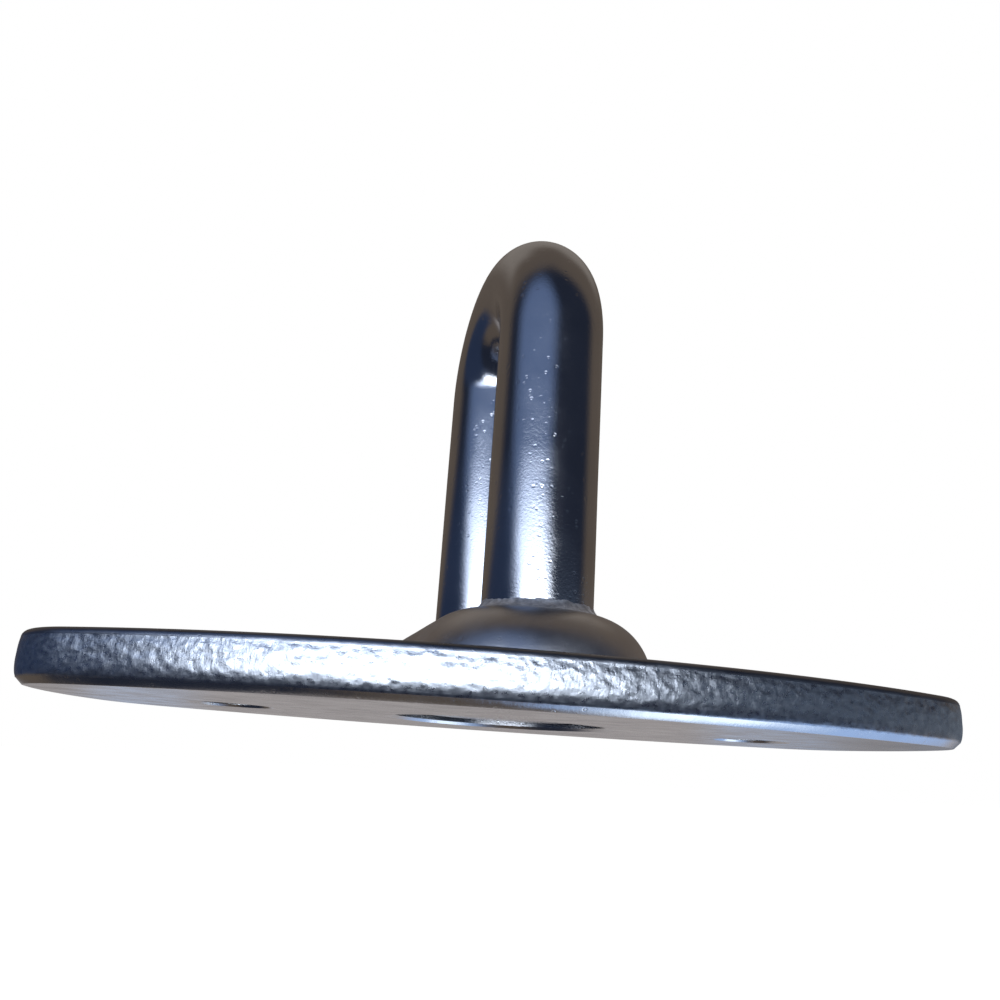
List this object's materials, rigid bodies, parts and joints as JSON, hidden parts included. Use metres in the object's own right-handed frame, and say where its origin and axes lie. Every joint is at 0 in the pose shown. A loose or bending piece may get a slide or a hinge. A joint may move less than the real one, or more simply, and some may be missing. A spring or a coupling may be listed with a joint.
{
  "type": "swivel hoist ring",
  "caption": "Swivel hoist ring: round-bar lifting bail welded to a domed head that turns on a stud through a rounded two-bolt base plate.",
  "frame": {"origin": "centre of the plate's bottom face, on the swivel axis", "axes": "+Z out of the mounting surface along the swivel axis towards the bail, +X along the plate's long axis through both fixing holes, +Y across the plate"},
  "size_m": [0.099, 0.058, 0.06],
  "materials": {
    "plate_steel": "hammered edge, satin faces",
    "bail_steel": "polished",
    "head_steel": "satin polished",
    "weld_steel": "dressed weld",
    "stud_steel": "turned",
    "bearing_bronze": "turned bronze"
  },
  "bodies": {
    "base": {"base_plate": "plate_steel", "bush": "bearing_bronze", "upper_thrust_washer": "bearing_bronze"},
    "swivel": {"bail": "bail_steel", "swivel_head": "head_steel", "weld_bead_front": "weld_steel", "weld_bead_rear": "weld_steel", "stud": "stud_steel", "retaining_nut": "stud_steel", "locking_dowel": "stud_steel", "lower_thrust_washer": "bearing_bronze"}
  },
  "joints": [
    {"name": "swivel_turn", "type": "hinge", "parent": "base", "child": "swivel", "pos_m": [0, 0, 0.005], "axis": [0, 0, 1], "continuous": true}
  ]
}
